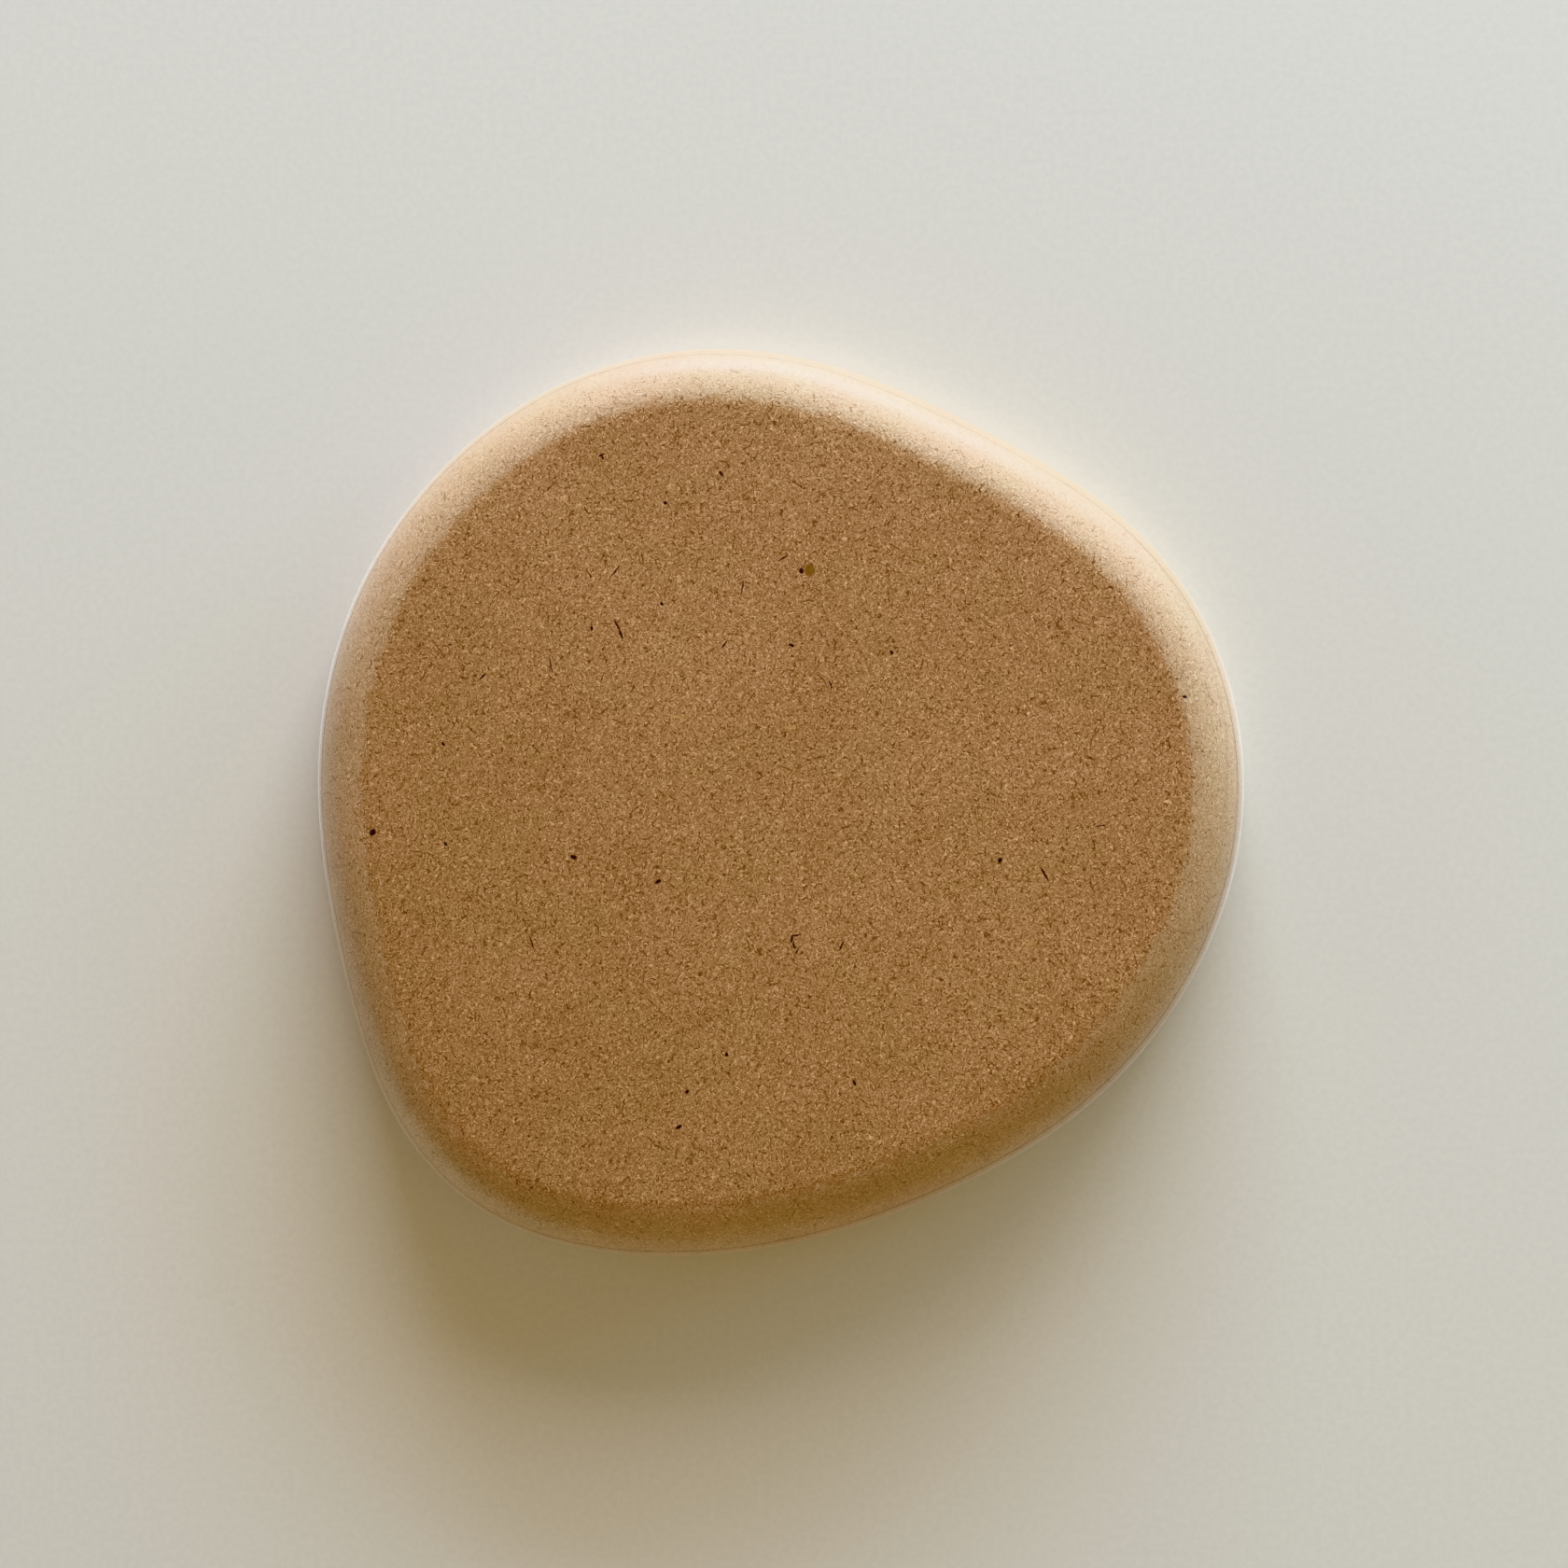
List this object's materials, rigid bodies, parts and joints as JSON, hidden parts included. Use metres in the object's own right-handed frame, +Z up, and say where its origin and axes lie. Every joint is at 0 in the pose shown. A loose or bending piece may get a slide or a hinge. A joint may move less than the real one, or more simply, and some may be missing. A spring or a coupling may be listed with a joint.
{
  "type": "pottery drape mold",
  "caption": "Pebble-shaped hump form glued up from fibreboard sheets: flat top, large rounded rim, flat underside; clay slabs are draped over it to shape shallow dishes.",
  "frame": {"origin": "middle of the outline's bounding box, on the flat underside that rests on the bench", "axes": "+Z up through the thickness, +X along the longer way across the outline (the picture's right), +Y across it (the picture's up)"},
  "size_m": [0.203, 0.1994, 0.0194],
  "materials": {
    "base_board": "raw sanded medium-density fibreboard with a satin clear sealer on the edge",
    "middle_board": "medium-density fibreboard edge, fine sanded, satin clear sealer",
    "top_board": "medium-density fibreboard with visible fibres and flecks, satin clear sealer",
    "glue": "cured brown-yellow wood glue, sanded flush"
  },
  "bodies": {
    "root": {"base_board": "base_board", "middle_board": "middle_board", "top_board": "top_board", "lower_glue_line": "glue", "upper_glue_line": "glue"}
  },
  "joints": []
}
